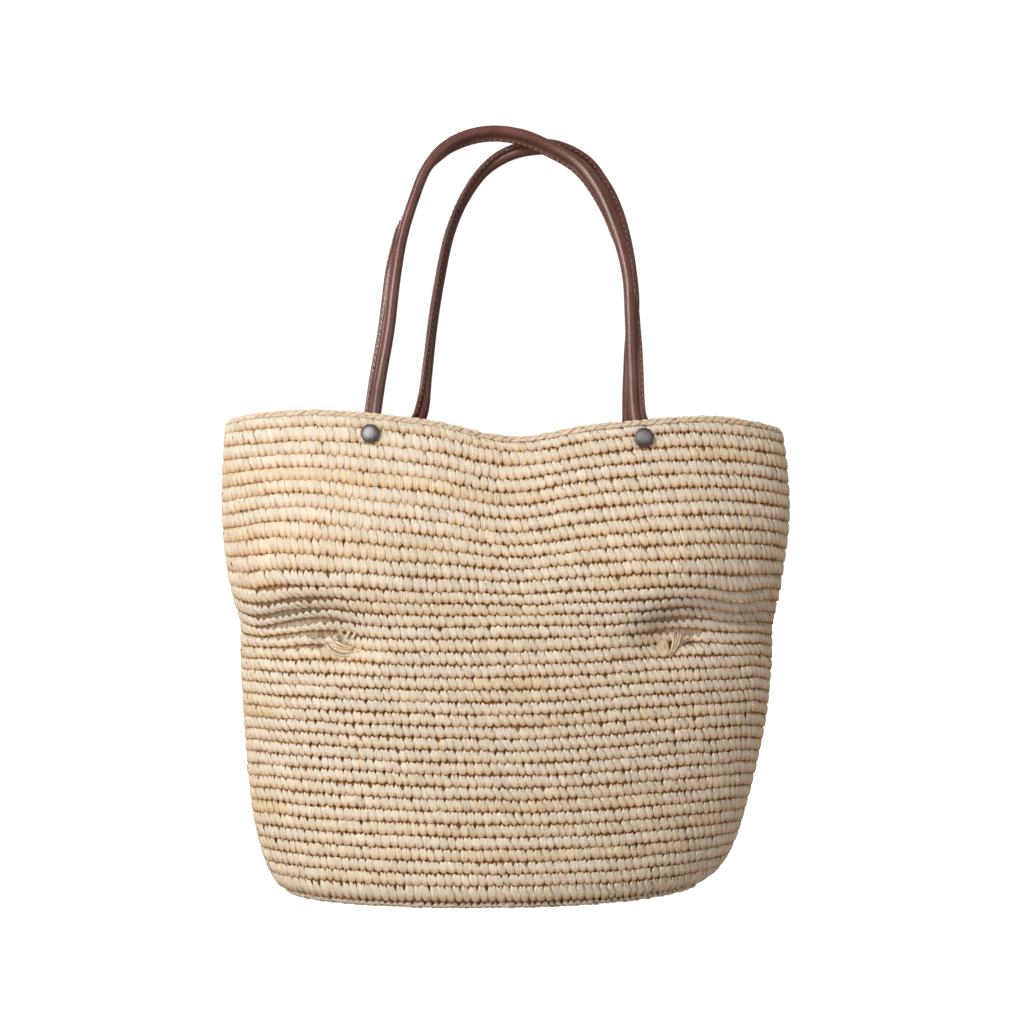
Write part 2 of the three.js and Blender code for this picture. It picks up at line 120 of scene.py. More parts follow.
# Route of each arch: across, in, up and the turn of the sewn edge, as in the CAD solids
ARCHES = {
    "front": np.array([
        (-0.99, 0.87, 0.07, 5), (-0.95, 0.83, 0.19, 8), (-0.89, 0.74, 0.345, 12),
        (-0.85, 0.64, 0.505, 20), (-0.8, 0.5, 0.645, 35), (-0.72, 0.38, 0.767, 65),
        (-0.63, 0.28, 0.868, 100), (-0.51, 0.2, 0.938, 130), (-0.34, 0.14, 0.983, 145),
        (-0.12, 0.1, 1.003, 150), (0.12, 0.1, 0.99, 150), (0.33, 0.12, 0.952, 150),
        (0.54, 0.18, 0.896, 145), (0.69, 0.28, 0.812, 140), (0.82, 0.42, 0.681, 120),
        (0.91, 0.58, 0.531, 75), (0.93, 0.69, 0.384, 30), (0.94, 0.77, 0.227, 8),
        (0.96, 0.87, 0.07, 5),
    ]),
    "back": np.array([
        (-0.9, 0.87, 0.108, -40), (-0.86, 0.83, 0.232, -65), (-0.81, 0.77, 0.396, -75),
        (-0.74, 0.66, 0.55, -75), (-0.64, 0.5, 0.705, -75), (-0.51, 0.4, 0.81, -70),
        (-0.33, 0.3, 0.895, -65), (-0.12, 0.2, 0.94, -50), (0.08, 0.14, 0.957, -40),
        (0.29, 0.1, 0.955, -35), (0.54, 0.12, 0.915, -40), (0.72, 0.2, 0.845, -50),
        (0.87, 0.3, 0.75, -60), (0.98, 0.46, 0.595, -60), (1.01, 0.62, 0.46, -50),
        (0.99, 0.77, 0.296, -40), (0.98, 0.87, 0.108, -20),
    ]),
}

# Rows of crochet, by their height share: the top row, the tall upper rows, the lower rows and the foot
TOP_ROW = 0.98
UPPER_ROWS, UPPER_PITCH = 11, 0.029
LOWER_ROWS, LOWER_PITCH = 24, 0.0255
FOOT_ROW = 0.014
STITCH = 5.45  # width of a stitch
ROW = 8.1  # height of a row

UP = np.array([0.0, 0.0, 1.0])
RING_STEPS = 1601  # places around the bag at which a row's length is measured
STRAND_TURN = 140  # millimetres of the strand layer for a turn of one radian around the bag


# ---- Small helpers ----

def smooth(value, start, end):
    t = np.clip((value - start) / (end - start), 0, 1)
    return t * t * (3 - 2 * t)


def unit(vectors):
    return vectors / np.linalg.norm(vectors, axis=-1, keepdims=True)


def power(value, exponent):
    return np.sign(value) * np.abs(value) ** exponent


def mix(a, b, share):
    return a + (b - a) * share


def rounded(steps, exponent):
    """Thickness of a strand at steps from -1 to 1 along it: even, with rounded ends."""
    return np.sqrt(np.clip(1 - np.abs(steps) ** exponent, 0.0004, 1))


def arcs_of(points):
    """How far along a line each of its points is."""
    return np.r_[0, np.cumsum(np.linalg.norm(np.diff(points, axis=0), axis=1))]


def interp_points(at, known, points):
    return np.stack([np.interp(at, known, points[:, k]) for k in range(3)], -1)


# ---- The body's surface ----

def column(name, share):
    """Smooth value of a column of the profile at shares of the height."""
    at, value = PROFILE[:, 0], PROFILE[:, name]
    last = len(at) - 1
    i = np.clip(np.searchsorted(at, share, side="right") - 1, 0, last - 1)
    before, after = np.maximum(i - 1, 0), np.minimum(i + 2, last)
    span = at[i + 1] - at[i]
    t = np.clip((share - at[i]) / span, 0, 1)
    m1 = (value[i + 1] - value[before]) / (at[i + 1] - at[before]) * span
    m2 = (value[after] - value[i]) / (at[after] - at[i]) * span
    return (
        (2 * t**3 - 3 * t**2 + 1) * value[i] + (t**3 - 2 * t**2 + t) * m1
        + (3 * t**2 - 2 * t**3) * value[i + 1] + (t**3 - t**2) * m2
    )


def wall_point(turn, at):
    """Outer surface of the wall at angles about the upright axis and shares of the height."""
    c, s = np.cos(turn), np.sin(turn)
    bend = 2 / column(SQUARE, at)
    across = np.where(c < 0, column(LEFT, at), column(RIGHT, at)) * power(c, bend)
    back = column(DEPTH, at) * power(s, bend)
    out = unit(np.stack([c / HALF_WIDTH, s / HALF_DEPTH], -1))
    push, lift = 0, -RIM_SLOPE_HEIGHT * across * at
    for side in SIDES.values():
        belongs = smooth(side * s, -0.4, 0.4)
        for middle, height, wide, tall, fold_push, fold_lift in FOLDS:
            share = belongs * np.exp(-(((across - middle) / wide) ** 2) - ((at - height) / tall) ** 2)
            push = push + share * fold_push * HALF_DEPTH
            lift = lift + share * fold_lift * BODY_HEIGHT
    return np.stack([
        across * HALF_WIDTH + push * out[..., 0],
        back * HALF_DEPTH + push * out[..., 1] + BASE_TWIST * across * (1 - at) ** 2,
        at * BODY_HEIGHT + lift * smooth(at, 0, 0.3),
    ], -1)


def row_point(turn, at):
    """The wall with the front's rows lifted or sagged. Above its top it goes straight up."""
    within = np.clip(at, 0, 1)
    points = wall_point(turn, within) + np.maximum(at - 1, 0)[..., None] * BODY_HEIGHT * UP
    across = points[..., 0] / HALF_WIDTH
    lift = 0
    for middle, height, wide, tall, row_lift in ROW_LIFTS:
        near = ((across - middle) / wide) ** 2 + ((within - height) / tall) ** 2
        lift = lift + smooth(-np.sin(turn), 0, 0.5) * np.exp(-near) * row_lift
    return points + np.asarray(lift)[..., None] * UP


def base_point(turn, at):
    """Underside of the base: 1 is its outline, and 0 is the line that the crochet starts from."""
    c, s = np.cos(turn), np.sin(turn)
    bend = 2 / PROFILE[0, SQUARE]
    half_depth = PROFILE[0, DEPTH] * HALF_DEPTH
    half_width = np.where(c < 0, PROFILE[0, LEFT], PROFILE[0, RIGHT]) * HALF_WIDTH
    inset = (1 - np.clip(at, 0, 1)) * half_depth
    x = power(c, bend) * (half_width - inset)
    y = power(s, bend) * (half_depth - inset) + BASE_TWIST * x / HALF_WIDTH
    return np.stack([x, y, np.zeros_like(x)], -1)


def normal_of(surface, turn, at):
    step = 0.01
    along = surface(turn + step, at) - surface(turn - step, at)
    up = surface(turn, np.minimum(at + step, 1)) - surface(turn, np.maximum(at - step, 0))
    return unit(np.cross(along, up))


def find_on_wall(side, across, height):
    """The turn and the height share where the wall of a face passes a place across the bag and a height."""
    turn, at = side * math.acos(across / HALF_WIDTH), height / BODY_HEIGHT
    for _ in range(40):
        here = wall_point(turn, at)
        turn -= side * (across - here[0]) / HALF_WIDTH
        at += (height - here[2]) / BODY_HEIGHT
    return turn, at


def spot_on(side, across, height):
    """A place on the wall, and the ways out of it, right and up along it, and to the bag's nearer side."""
    turn, at = find_on_wall(side, across, height)
    out = normal_of(wall_point, turn, at)
    right = unit(np.cross(UP, out))
    return {
        "place": wall_point(turn, at), "out": out, "right": right, "up": np.cross(out, right),
        "sideways": right * np.sign(right[0] * across),
    }


def rim_height(side, across):
    near, far = 0.0, math.pi
    for _ in range(40):
        middle = (near + far) / 2
        if wall_point(side * middle, 1)[0] > across:
            near = middle
        else:
            far = middle
    return wall_point(side * near, 1)[2]


RIVET_SPOTS = {}
for face, places in RIVETS.items():
    for end, share in zip(("left", "right"), places):
        across = share * HALF_WIDTH
        RIVET_SPOTS[face, end] = spot_on(SIDES[face], across, rim_height(SIDES[face], across) - RIVET_DROP)
TUFT_SPOTS = {end: spot_on(-1, share * HALF_WIDTH, TUFT_HEIGHT) for end, share in TUFTS.items()}


# ---- Meshes ----

def make_piece(name, made, finish, *replaced):
    """A smooth piece on the one body: made of points, faces and layers, and finished by its material. The
    slot that comes with the material is not used.
    """
    points, faces, layers = made
    material, slot = finish
    mesh = bpy.data.meshes.new(name)
    faces = np.asarray(faces, np.int32)
    mesh.vertices.add(len(points))
    mesh.vertices.foreach_set("co", (np.asarray(points) * MM).astype(np.float32).ravel())
    mesh.loops.add(faces.size)
    mesh.loops.foreach_set("vertex_index", faces.ravel())
    mesh.polygons.add(len(faces))
    mesh.polygons.foreach_set("loop_start", np.arange(0, faces.size, faces.shape[1], dtype=np.int32))
    mesh.polygons.foreach_set("use_smooth", np.ones(len(faces), bool))
    for layer, values in layers.items():
        if layer == "strand":
            uv = mesh.uv_layers.new(name=layer)
            uv.data.foreach_set("uv", values[faces.ravel()].astype(np.float32).ravel())
        else:
            colour = mesh.attributes.new(layer, "FLOAT_COLOR", "POINT")
            opaque = np.c_[values, np.ones(len(values))]
            colour.data.foreach_set("color", opaque.astype(np.float32).ravel())
    mesh.update(calc_edges=True)
    mesh.validate()
    mesh.materials.append(material)
    piece = bpy.data.objects.new(name, mesh)
    bpy.context.scene.collection.objects.link(piece)
    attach(piece, "root")
    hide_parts(*replaced)
    return piece


def grid_faces(rows, columns, closed=False):
    """Quads of a grid of points, looking along the cross product of its columns' and rows' ways."""
    i, j = np.meshgrid(np.arange(rows - 1), np.arange(columns if closed else columns - 1), indexing="ij")
    right = (j + 1) % columns
    corners = [i * columns + j, i * columns + right, (i + 1) * columns + right, (i + 1) * columns + j]
    return np.stack(corners, -1).reshape(-1, 4)


def sheet(points, u, v, flip=False, **layers):
    """A closed sheet from a grid of points, and its place in the strand layer."""
    faces = grid_faces(*u.shape, closed=True)[:, ::-1 if flip else 1]
    return points.reshape(-1, 3), faces, {"strand": np.stack([u, v], -1).reshape(-1, 2), **layers}


def repeat_faces(faces, count, points_each):
    """The same faces for each of several grids of points."""
    return (faces[None] + (np.arange(count) * points_each)[:, None, None]).reshape(-1, faces.shape[1])


def tubes(paths, outs, wide, thick, sides):
    """Closed tubes with oval sections: paths and outs are (tube, ring, 3), wide and thick (tube, ring)."""
    along = unit(np.gradient(paths, axis=1))
    side = unit(np.cross(along, outs))
    out = np.cross(side, along)
    angle = np.arange(sides) / sides * TURN
    rings = (
        paths[:, :, None]
        + np.cos(angle)[:, None] * (wide[..., None, None] * side[:, :, None])
        + np.sin(angle)[:, None] * (thick[..., None, None] * out[:, :, None])
    )
    count, ring_count = paths.shape[:2]
    faces = grid_faces(ring_count, sides, closed=True)[:, ::-1]
    length = np.linalg.norm(np.diff(paths, axis=1), axis=2)
    v = np.concatenate([np.zeros((count, 1)), np.cumsum(length, 1)], 1)[..., None] + np.zeros(sides)
    u = np.broadcast_to(np.arange(sides) / sides, v.shape) * 2 * (wide + thick).max(1)[:, None, None]
    faces = repeat_faces(faces, count, ring_count * sides)
    return rings.reshape(-1, 3), faces, np.stack([u, v], -1).reshape(-1, 2)


def one_tube(path, out, wide, thick, sides):
    """A tube with the same way out all along its path."""
    return tubes(path[None], np.broadcast_to(out, path.shape)[None], wide[None], thick[None], sides)


def join(parts):
    """One mesh of several, each with its points, faces and uv."""
    offset, points, faces, uv = 0, [], [], []
    for part_points, part_faces, part_uv in parts:
        points.append(part_points)
        faces.append(part_faces + offset)
        uv.append(part_uv)
        offset += len(part_points)
    return np.concatenate(points), np.concatenate(faces), np.concatenate(uv)


# ---- Crochet ----

# A stitch is a grid of points. Its rings, from the bottom up: how high, how far out and how wide each is
STITCH_UP = np.array([0.0, 0.03, 0.08, 0.2, 0.55, 0.78, 0.9, 1.0])
STITCH_OUT = np.array([-1.8, -0.1, 0.6, 0.92, 0.97, 0.84, 0.6, 0.0])
STITCH_SPAN = np.array([0.56, 0.8, 0.95, 1.05, 1.1, 1.12, 1.06, 0.82])
STITCH_GROOVE = np.array([0.4, 0.9, 1.2, 0.9, 0.12, 0.0, 0.0, 0.1])  # how deep the ring's ends lie
# Its columns, from side to side: where each is, and how far its top stands above the stitch
STITCH_ACROSS = np.array([-1.0, -0.93, -0.7, 0.0, 0.7, 0.93, 1.0])
STITCH_TEETH = np.array([-0.18, -0.12, 0.07, -0.08, 0.05, -0.13, -0.19])
PLAIN_UP = np.array([0, 2, 4, 6, 7])  # the rings and columns kept in a stitch that is seen less
PLAIN_ACROSS = np.array([0, 2, 4, 6])
STITCH_TALL, STITCH_LOW = 1.07, -0.03  # height of a stitch, and where it starts, in rows
OPENED_LESS, OPENED_LIFT = 0.56, 0.19  # how much shorter and higher it is where the rows are open
CORNER_LIFT = 0.19  # how far its bottom corners rise
LEAN_PIVOT = 0.45  # the height at which a leaning stitch stays in place
AIM_REACH = 0.65  # how far a tip may move to its place between two stitches of the row above
STRAND_TONES, TONE_SHARES = [0.0, 0.25, 0.5, 0.9, -0.4], [0.34, 0.24, 0.2, 0.08, 0.14]


def wobble(rng, length):
    """A gentle closed wave along a row of that length, from -1 to 1."""
    waves = rng.integers(3, 17, 5)
    phases = rng.uniform(0, TURN, 5)
    return lambda arc: np.sin(arc[..., None] / length * TURN * waves + phases).sum(-1) / 3


def tones_of(rng, count):
    """Tones of the stitches of a row, where one strand of raffia makes a run of stitches."""
    tones = []
    while len(tones) < count:
        tone = rng.choice(STRAND_TONES, p=TONE_SHARES)
        tones += [tone + rng.normal(0, 0.06)] * int(rng.integers(7, 34))
    return np.array(tones[:count])


RING = np.linspace(0, TURN, RING_STEPS) - math.pi
TIP_LEAN = -1.1  # how far a plain stitch's tip leans along its row


def lay_out_row(surface, low, high, stitch, rng):
    """How far along a row each turn of RING is, the row's length, and where its stitches meet."""
    arcs = arcs_of(surface(RING, np.full_like(RING, (low + high) / 2)))
    count = max(int(round(arcs[-1] / stitch)), 4)
    meets = (np.arange(count) + rng.normal(0, 0.07, count)) * arcs[-1] / count
    return arcs, arcs[-1], meets


def aim_at(middles, row, above, wanted):
    """How far each stitch's tip leans along the row, to end where two stitches of the row above meet."""
    arcs, length, _ = row
    above_arcs, above_length, above_meets = above
    targets = np.interp(np.interp(above_meets % above_length, above_arcs, RING), RING, arcs)
    gaps = (targets - middles[:, :, 0] + length / 2) % length - length / 2
    nearest = gaps[np.arange(len(middles)), np.abs(gaps - wanted[:, :, 0]).argmin(1)]
    return np.clip(nearest[:, None, None], wanted - AIM_REACH, wanted + AIM_REACH)


def drift_of(surface, turn, low, high):
    """How far the surface's lines of one turn run along the row, from its lower edge to its upper one."""
    level = np.full_like(turn, (low + high) / 2)
    along = unit(surface(turn + 0.01, level) - surface(turn - 0.01, level))
    rise = surface(turn, np.full_like(turn, high)) - surface(turn, np.full_like(turn, low))
    return (rise * along).sum(-1)


def crochet(surface, edges, looks):
    """Rows of stitches between the edges, on a surface. Looks says how they lie, and on which side."""
    rng = np.random.default_rng(looks["seed"])
    up, across = np.arange(len(STITCH_UP)), np.arange(len(STITCH_ACROSS))
    if looks.get("plain"):
        up, across = PLAIN_UP, PLAIN_ACROSS
    v = STITCH_UP[up][:, None]
    u = STITCH_ACROSS[across][None, :]
    tip = smooth(v, 0.5, 1.1)
    all_points, all_uv, all_dye = [], [], []
    stitch = looks.get("stitch", STITCH)
    rows = [lay_out_row(surface, low, high, stitch, rng) for low, high in zip(edges[:-1], edges[1:])]
    for low, high, row, above in zip(edges[:-1], edges[1:], rows, [*rows[1:], rows[-1]]):
        arcs, length, meets = row
        count = len(meets)
        ends = np.r_[meets[1:], meets[0] + length]
        middle, half = ((meets + ends) / 2)[:, None, None], ((ends - meets) / 2)[:, None, None]

        def spread(scale):
            return rng.normal(0, scale, count)[:, None, None]

        turn = np.interp(middle % length, arcs, RING)
        here = surface(turn, np.full_like(middle, (low + high) / 2))
        drift = drift_of(surface, turn, low, high)
        lean = (looks["lean"](here) + spread(0.06)) * ROW
        aim = aim_at(middle - drift, row, above, TIP_LEAN - LEAN_PIVOT * lean)
        aim = aim + LEAN_PIVOT * lean + half * spread(0.1)
        opened, pressed_and_shaded = looks["opened"](here), looks["pressed_and_shaded"](here)
        pointed = (0.4 * opened + spread(0.12)) * smooth(v, 0.75, 1)
        span = mix(STITCH_SPAN[up][:, None] * (1 - pointed), 1.05, pressed_and_shaded)
        arc = middle + half * u * span * (1 + spread(0.03))
        arc = arc + aim * tip - lean * (v - LEAN_PIVOT) * (1 - tip) - drift * (v - 0.5)
        wave = wobble(rng, length)
        teeth = mix(STITCH_TEETH[across], 0.1 - 0.3 * np.abs(u), np.clip(opened, 0, 1))
        teeth = teeth + (spread(0.05) - 0.02) * u + spread(0.04) * u**2
        rise = v + CORNER_LIFT * np.abs(u) ** 2.3 * (1 - v) ** 3 + teeth * smooth(v, 0.6, 1) + spread(0.02)
        rise = rise * (STITCH_TALL - OPENED_LESS * opened) + STITCH_LOW + OPENED_LIFT * opened
        at = low + (high - low) * (rise + 0.05 * wave(arc))
        turn = np.interp(arc % length, arcs, RING)
        depth = (
            STITCH_OUT[up][:, None] * (1 + spread(0.08)) - STITCH_GROOVE[up][:, None] * np.abs(u) ** 9
            + (0.03 + spread(0.04)) * u + spread(0.04)
        )
        depth = mix(depth, 0.9 - 2.2 * v - 1.6 * (v == 0), pressed_and_shaded)
        points = surface(turn, at)
        out = normal_of(surface, turn, at) * looks["side"]
        points = points + looks["press"](points)[..., None] * out
        points = points + out * (looks["relief"](here) * depth + looks["offset"])[..., None]
        all_points.append(points.reshape(-1, 3))
        shift = rng.uniform(0, 400, (count, 1, 1, 2))
        flat = np.stack(np.broadcast_arrays(u * half, v * ROW + 0 * half), -1) + shift
        all_uv.append(flat.reshape(-1, 2))
        # Painted warm shade: the low end of each stitch, short ticks low between stitches, and its top where
        # it tucks under the row above
        low_end_shade = 1 - smooth(v, 0.04, 0.33)
        tick_shade = smooth(v, 0, 0.15) * (1 - smooth(v, 0.25, 0.5))
        edge = np.clip(low_end_shade + (0.1 + 0.9 * tick_shade) * np.abs(u) ** 5 + 0.25 * smooth(v, 0.85, 1), 0, 1)
        # Lightness: random for each stitch and along its row, and lowered as painted shade in the crease at
        # the right and on the foot row
        light = spread(1) + 0.4 * wave(middle) - 4.5 * pressed_and_shaded - looks.get("shade", 0)
        # Painted warm light: the tone moves towards gold low on the bag
        tone = tones_of(rng, count)[:, None, None] + looks["painted_warm_light"](here)
        # Painted shade: in the crease at the right the tone turns pale, which with the lowered lightness
        # reads grey
        tone = tone * (1 - pressed_and_shaded) - 0.8 * pressed_and_shaded
        # Colour layer: the share of painted warm shade, a lightness that holds painted shade, and a tone that
        # holds painted warm light and shade
        dye = np.broadcast_arrays(edge + 0 * tone, 0.5 + 0.07 * light, 0.5 + 0.25 * tone)
        all_dye.append(np.stack(dye, -1).reshape(-1, 3))
    per_stitch = len(up) * len(across)
    points = np.concatenate(all_points)
    faces = grid_faces(len(up), len(across))
    if looks["side"] < 0:
        faces = faces[:, ::-1]
    faces = repeat_faces(faces, len(points) // per_stitch, per_stitch)
    return points, faces, {"strand": np.concatenate(all_uv), "dye": np.concatenate(all_dye)}


# Zones of the front: across, height, width and tallness
POCKETS = ((-122, 178, 7, 4.5), (126, 179, 7, 4.5))  # dark, beside the tufts
LEFT_CREASE, LEFT_LEAN = (-140, 192, 32, 19), (-140, 190, 40, 22)
RIGHT_CREASE, RIGHT_LAPS = (113, 190, 22, 17), (158, 196, 34, 23)
UPPER_LEFT = (-120, 290, 110, 70)
# How far the wall is drawn in, how far around, and how steeply
WASHER_PRESS, TUFT_PRESS = (1.3, 8.5, 4), (2.4, 10, 2)
POCKET_PRESS = 4.5


def zone(here, across, height, wide, tall):
    """Share of a rounded zone of the front about a place on it."""
    near = ((here[..., 0] - across) / wide) ** 2 + ((here[..., 2] - height) / tall) ** 2
    return np.exp(-near) * (here[..., 1] < 0)


def outer_press(points):
    """Where the wall is drawn in: under the washers, around the tufts and in the pockets."""
    press = np.zeros(points.shape[:-1])
    for spots, (deep, reach, steep) in ((RIVET_SPOTS, WASHER_PRESS), (TUFT_SPOTS, TUFT_PRESS)):
        for spot in spots.values():
            away = np.linalg.norm(points - spot["place"], axis=-1)
            press -= deep * np.exp(-((away / reach) ** steep))
    for pocket in POCKETS:
        press -= POCKET_PRESS * zone(points, *pocket)
    return press


def outer_lean(here):
    """Stitches lean further at the left end of the front, in its creases and where the rounds meet."""
    x, z = here[..., 0], here[..., 2]
    ends = 0.45 * smooth(-x, 100, 170) * smooth(z, 50, 120) * (here[..., 1] < 0)
    joint = 0.3 * np.exp(-(((x - 3) / 7) ** 2)) * (here[..., 1] < 0)
    return 0.1 + ends + joint + 0.5 * zone(here, *LEFT_LEAN) + 0.5 * outer_pressed_and_shaded(here)


def outer_opened(here):
    """The gaps between rows are wider in the creases beside the tufts, and tighter at the upper left."""
    creased = 0.9 * zone(here, *LEFT_CREASE) + 0.7 * zone(here, *RIGHT_CREASE)
    pockets = sum(zone(here, *pocket) for pocket in POCKETS)
    return np.minimum(creased + pockets, 1.1) - 0.3 * zone(here, *UPPER_LEFT)


def outer_pressed_and_shaded(here):
    """In the crease at the right the rows lie flat, each lapped over the next like shingles. The same share
    darkens and greys their colour there as painted shade.
    """
    return np.minimum(1.3 * zone(here, *RIGHT_LAPS), 1)


def outer_relief(here):
    """The rows stand out further at the two ends of the bag."""
    return 1.0 + 0.8 * smooth(np.abs(here[..., 0]), 140, 190)


def outer_painted_warm_light(here):
    """Painted warm light: the raffia's tone is moved towards gold in the lower part of the bag."""
    return 0.4 * smooth(here[..., 2], 200, 60)


def even(value):
    return lambda here: np.full(here.shape[:-1], value)


ROW_EDGES = np.r_[
    0,
    FOOT_ROW,
    TOP_ROW - UPPER_ROWS * UPPER_PITCH - LOWER_PITCH * np.arange(LOWER_ROWS, 0, -1),
    TOP_ROW - UPPER_PITCH * np.arange(UPPER_ROWS, -1, -1),
    1,
]
BAND = 10  # rows in each piece of the wall
OUTSIDE = {
    "side": 1, "relief": outer_relief, "offset": 0.0, "lean": outer_lean, "opened": outer_opened,
    "pressed_and_shaded": outer_pressed_and_shaded, "press": outer_press, "painted_warm_light": outer_painted_warm_light,
}
# The foot row's shade value darkens its colour as painted shade
FOOT = {
    **OUTSIDE, "stitch": 4.4, "relief": even(2.6), "offset": -1.2, "lean": even(0.9), "opened": even(0.6),
    "shade": 4.0,
}
PLAIN = {"pressed_and_shaded": even(0.0), "press": even(0.0), "painted_warm_light": even(0.0)}
INSIDE = {
    **PLAIN, "side": -1, "relief": even(0.7), "offset": WALL - 0.7, "plain": True, "lean": even(-0.15),
    "opened": even(0.3),
}
BASE = {
    **PLAIN, "side": 1, "relief": even(0.6), "offset": -0.9, "lean": even(0.2), "opened": even(0.0),
}


def wall_sheet():
    """The strands in the thickness of the wall, seen in the gaps between rows, coloured as painted shade that
    is lighter where the rows open.
    """
    turns = np.linspace(0, TURN, 361)[:-1]
    at, turn = np.meshgrid(np.linspace(0, 1, 110), turns, indexing="ij")
    points = row_point(turn, at)
    out = normal_of(row_point, turn, at)
    points = points + out * (outer_press(points) - 1.6)[..., None]
    dye = np.repeat(outer_opened(points).reshape(-1, 1), 3, axis=1)
    return sheet(points, turn * STRAND_TURN, at * BODY_HEIGHT, dye=dye.clip(0, 1))


def base_sheet():
    """The strands in the thickness of the base."""
    turns = np.linspace(0, TURN, 181)[:-1]
    at, turn = np.meshgrid(np.linspace(0, 1, 12), turns, indexing="ij")
    points = base_point(turn, at) + UP * WALL / 2
    return sheet(points, turn * STRAND_TURN, at * STRAND_TURN / 2)


# ---- Edging: a chain of slanted loops along the rim ----

LINK = 5.8  # from one loop of the chain to the next
LINK_REACH = 4.7  # half the length of a loop
LINK_SIDES = 8
CORE_WIDE, CORE_TALL, CORE_HEIGHT = 2.4, 1.9, 0.6  # half the width and height of the core, and its middle
LINK_ROWS = (
    # shift along the rim in links, then how far out and how far up each link starts and ends
    (0.0, 3.1, 1.7, 0.5, 2.2),
    (0.35, 0.5, 1.2, 3.6, 2.5),
    (0.0, -3.1, -1.7, 0.5, 2.2),
)


def rim_line(turn):
    """The middle of the wall's top, and the level way out from it."""
    top = np.ones_like(turn)
    out = unit(normal_of(wall_point, turn, top) * [1, 1, 0])
    return row_point(turn, top) - out * WALL / 2, out


def rim_core():
    """The ring of strands that the chain is worked over."""
    angle, turn = np.meshgrid(np.linspace(0, TURN, 11), np.arange(360) / 360 * TURN, indexing="ij")
    middle, out = rim_line(turn)
    points = middle + out * (CORE_WIDE * np.cos(angle))[..., None]
    points = points + UP * (CORE_HEIGHT + CORE_TALL * np.sin(angle))[..., None]
    return sheet(points, angle * 2, turn * STRAND_TURN, flip=True)


def rim_braid():
    """Pointed links along the rim: a row outside, one on top that slants the other way, and one inside."""
    rng = np.random.default_rng(41)
    ring = np.linspace(0, TURN, RING_STEPS)
    arcs = arcs_of(row_point(ring, np.ones_like(ring)))
    length = arcs[-1]
    count = int(round(length / LINK))
    steps = np.linspace(-1, 1, 9)
    body = np.clip(1 - np.abs(steps) ** 2, 0.01, 1) ** 0.8
    parts = []
    for shift, out_from, out_to, up_from, up_to in LINK_ROWS:
        start = (np.arange(count) + shift + rng.normal(0, 0.07, count)) * length / count
        arc = start[:, None] + steps * LINK_REACH
        middle, out = rim_line(np.interp(arc % length, arcs, ring))
        share = 0.5 + 0.5 * np.tanh(steps * 1.6)
        aside = mix(out_from, out_to, share) + rng.normal(0, 0.12, (count, 1))
        rise = mix(up_from, up_to, share) + rng.normal(0, 0.15, (count, 1))
        path = middle + out * aside[..., None] + UP * rise[..., None]
        facing = unit(out * aside[..., None] + UP * np.maximum(rise, 0.4)[..., None])
        wide = body * (1.55 + rng.normal(0, 0.12, (count, 1)))
        thick = body * (1.3 + rng.normal(0, 0.08, (count, 1)))
        parts.append(tubes(path, facing, wide, thick, LINK_SIDES))
    points, faces, uv = join(parts)
    each = len(steps) * LINK_SIDES
    tone = np.repeat(np.concatenate([tones_of(rng, count) for _ in LINK_ROWS]), each)
    light = np.repeat(rng.normal(0, 1, count * len(LINK_ROWS)), each)
    ends = np.tile(np.repeat(np.abs(steps) ** 3, LINK_SIDES), count * len(LINK_ROWS))
    # The ends of each link take painted warm shade; lightness and tone vary at random
    dye = np.stack([0.2 + 0.8 * ends, 0.45 + 0.08 * light, 0.5 + 0.25 * tone], -1)
    return points, faces, {"strand": uv, "dye": dye}


# ---- Tufts of strands ----

TUFT_ROOTS = {"left": 1.4, "right": 4.0}  # how far out a strand starts
# Colour of the tufts: a little painted warm shade, a lightness lowered as painted shade, and a golden tone
TUFT_TINT_AND_SHADE = (0.16, 0.36, 0.72)
SPLIT_APART, SPLIT_WIDE = 0.42, 0.29  # how far apart the halves of a strand are, and half of one's width
# Each strand from where it starts to where it ends, across and up from the middle of the tuft, the bow of
# its middle across its way, how far it stands out, and its width
TUFT_STRANDS = {
    "left": [
        ((-14, -1), (4, -12), -4.0, 2.2, 1.8), ((-13, 0), (7, -9), -5.0, 2.6, 2.0),
        ((-12, 0.5), (9, -7), -4.4, 3.0, 1.9), ((-10.5, 1), (9, -5.5), -3.4, 3.2, 1.9),
        ((-9, 1), (9, -4), -2.4, 3.3, 1.8), ((-7, 2), (8, -2.5), -1.2, 3.0, 1.8),
        ((-7, 2), (-3.5, 4.5), 1.0, 4.6, 3.0), ((8, -5.5), (14, -2.5), -0.8, 3.4, 2.4),
        ((2, 3), (5, 9.5), 0.6, 2.8, 2.4), ((6, 3), (8, 9), -0.5, 2.8, 2.4),
        ((-4, 6), (1, 9), 0.8, 2.2, 2.0),
    ],
    "right": [
        ((1.0, -8.5), (-4.4, -0.8), 1.2, 2.2, 2.0), ((1.2, -8.5), (-2.8, 0.6), 1.0, 2.6, 2.0),
        ((1.5, -8.5), (-1.2, 1.8), 0.8, 3.0, 2.0), ((1.8, -8.5), (0.5, 2.8), 0.5, 3.2, 2.0),
        ((2.1, -8.3), (2.2, 3.6), 0.2, 3.2, 2.0), ((2.6, -8), (6.4, 6.4), -0.8, 3.8, 2.6),
        ((2.9, -7.5), (8, 5.6), -0.8, 3.2, 2.0), ((3.2, -7), (12, 7.6), -1.0, 3.2, 2.4),
        ((3.5, -6.5), (15, 5.5), -0.8, 2.0, 1.8), ((3.5, -6), (19, 4.5), 0.8, 1.2, 1.7),
        ((3.5, -5.5), (21, 3.2), 1.2, 1.0, 1.7), ((0.8, -4), (-11, -1.5), 1.2, 1.0, 1.5),
        ((0.6, -3), (-11.5, 1.2), 1.2, 1.2, 1.5),
    ],
}


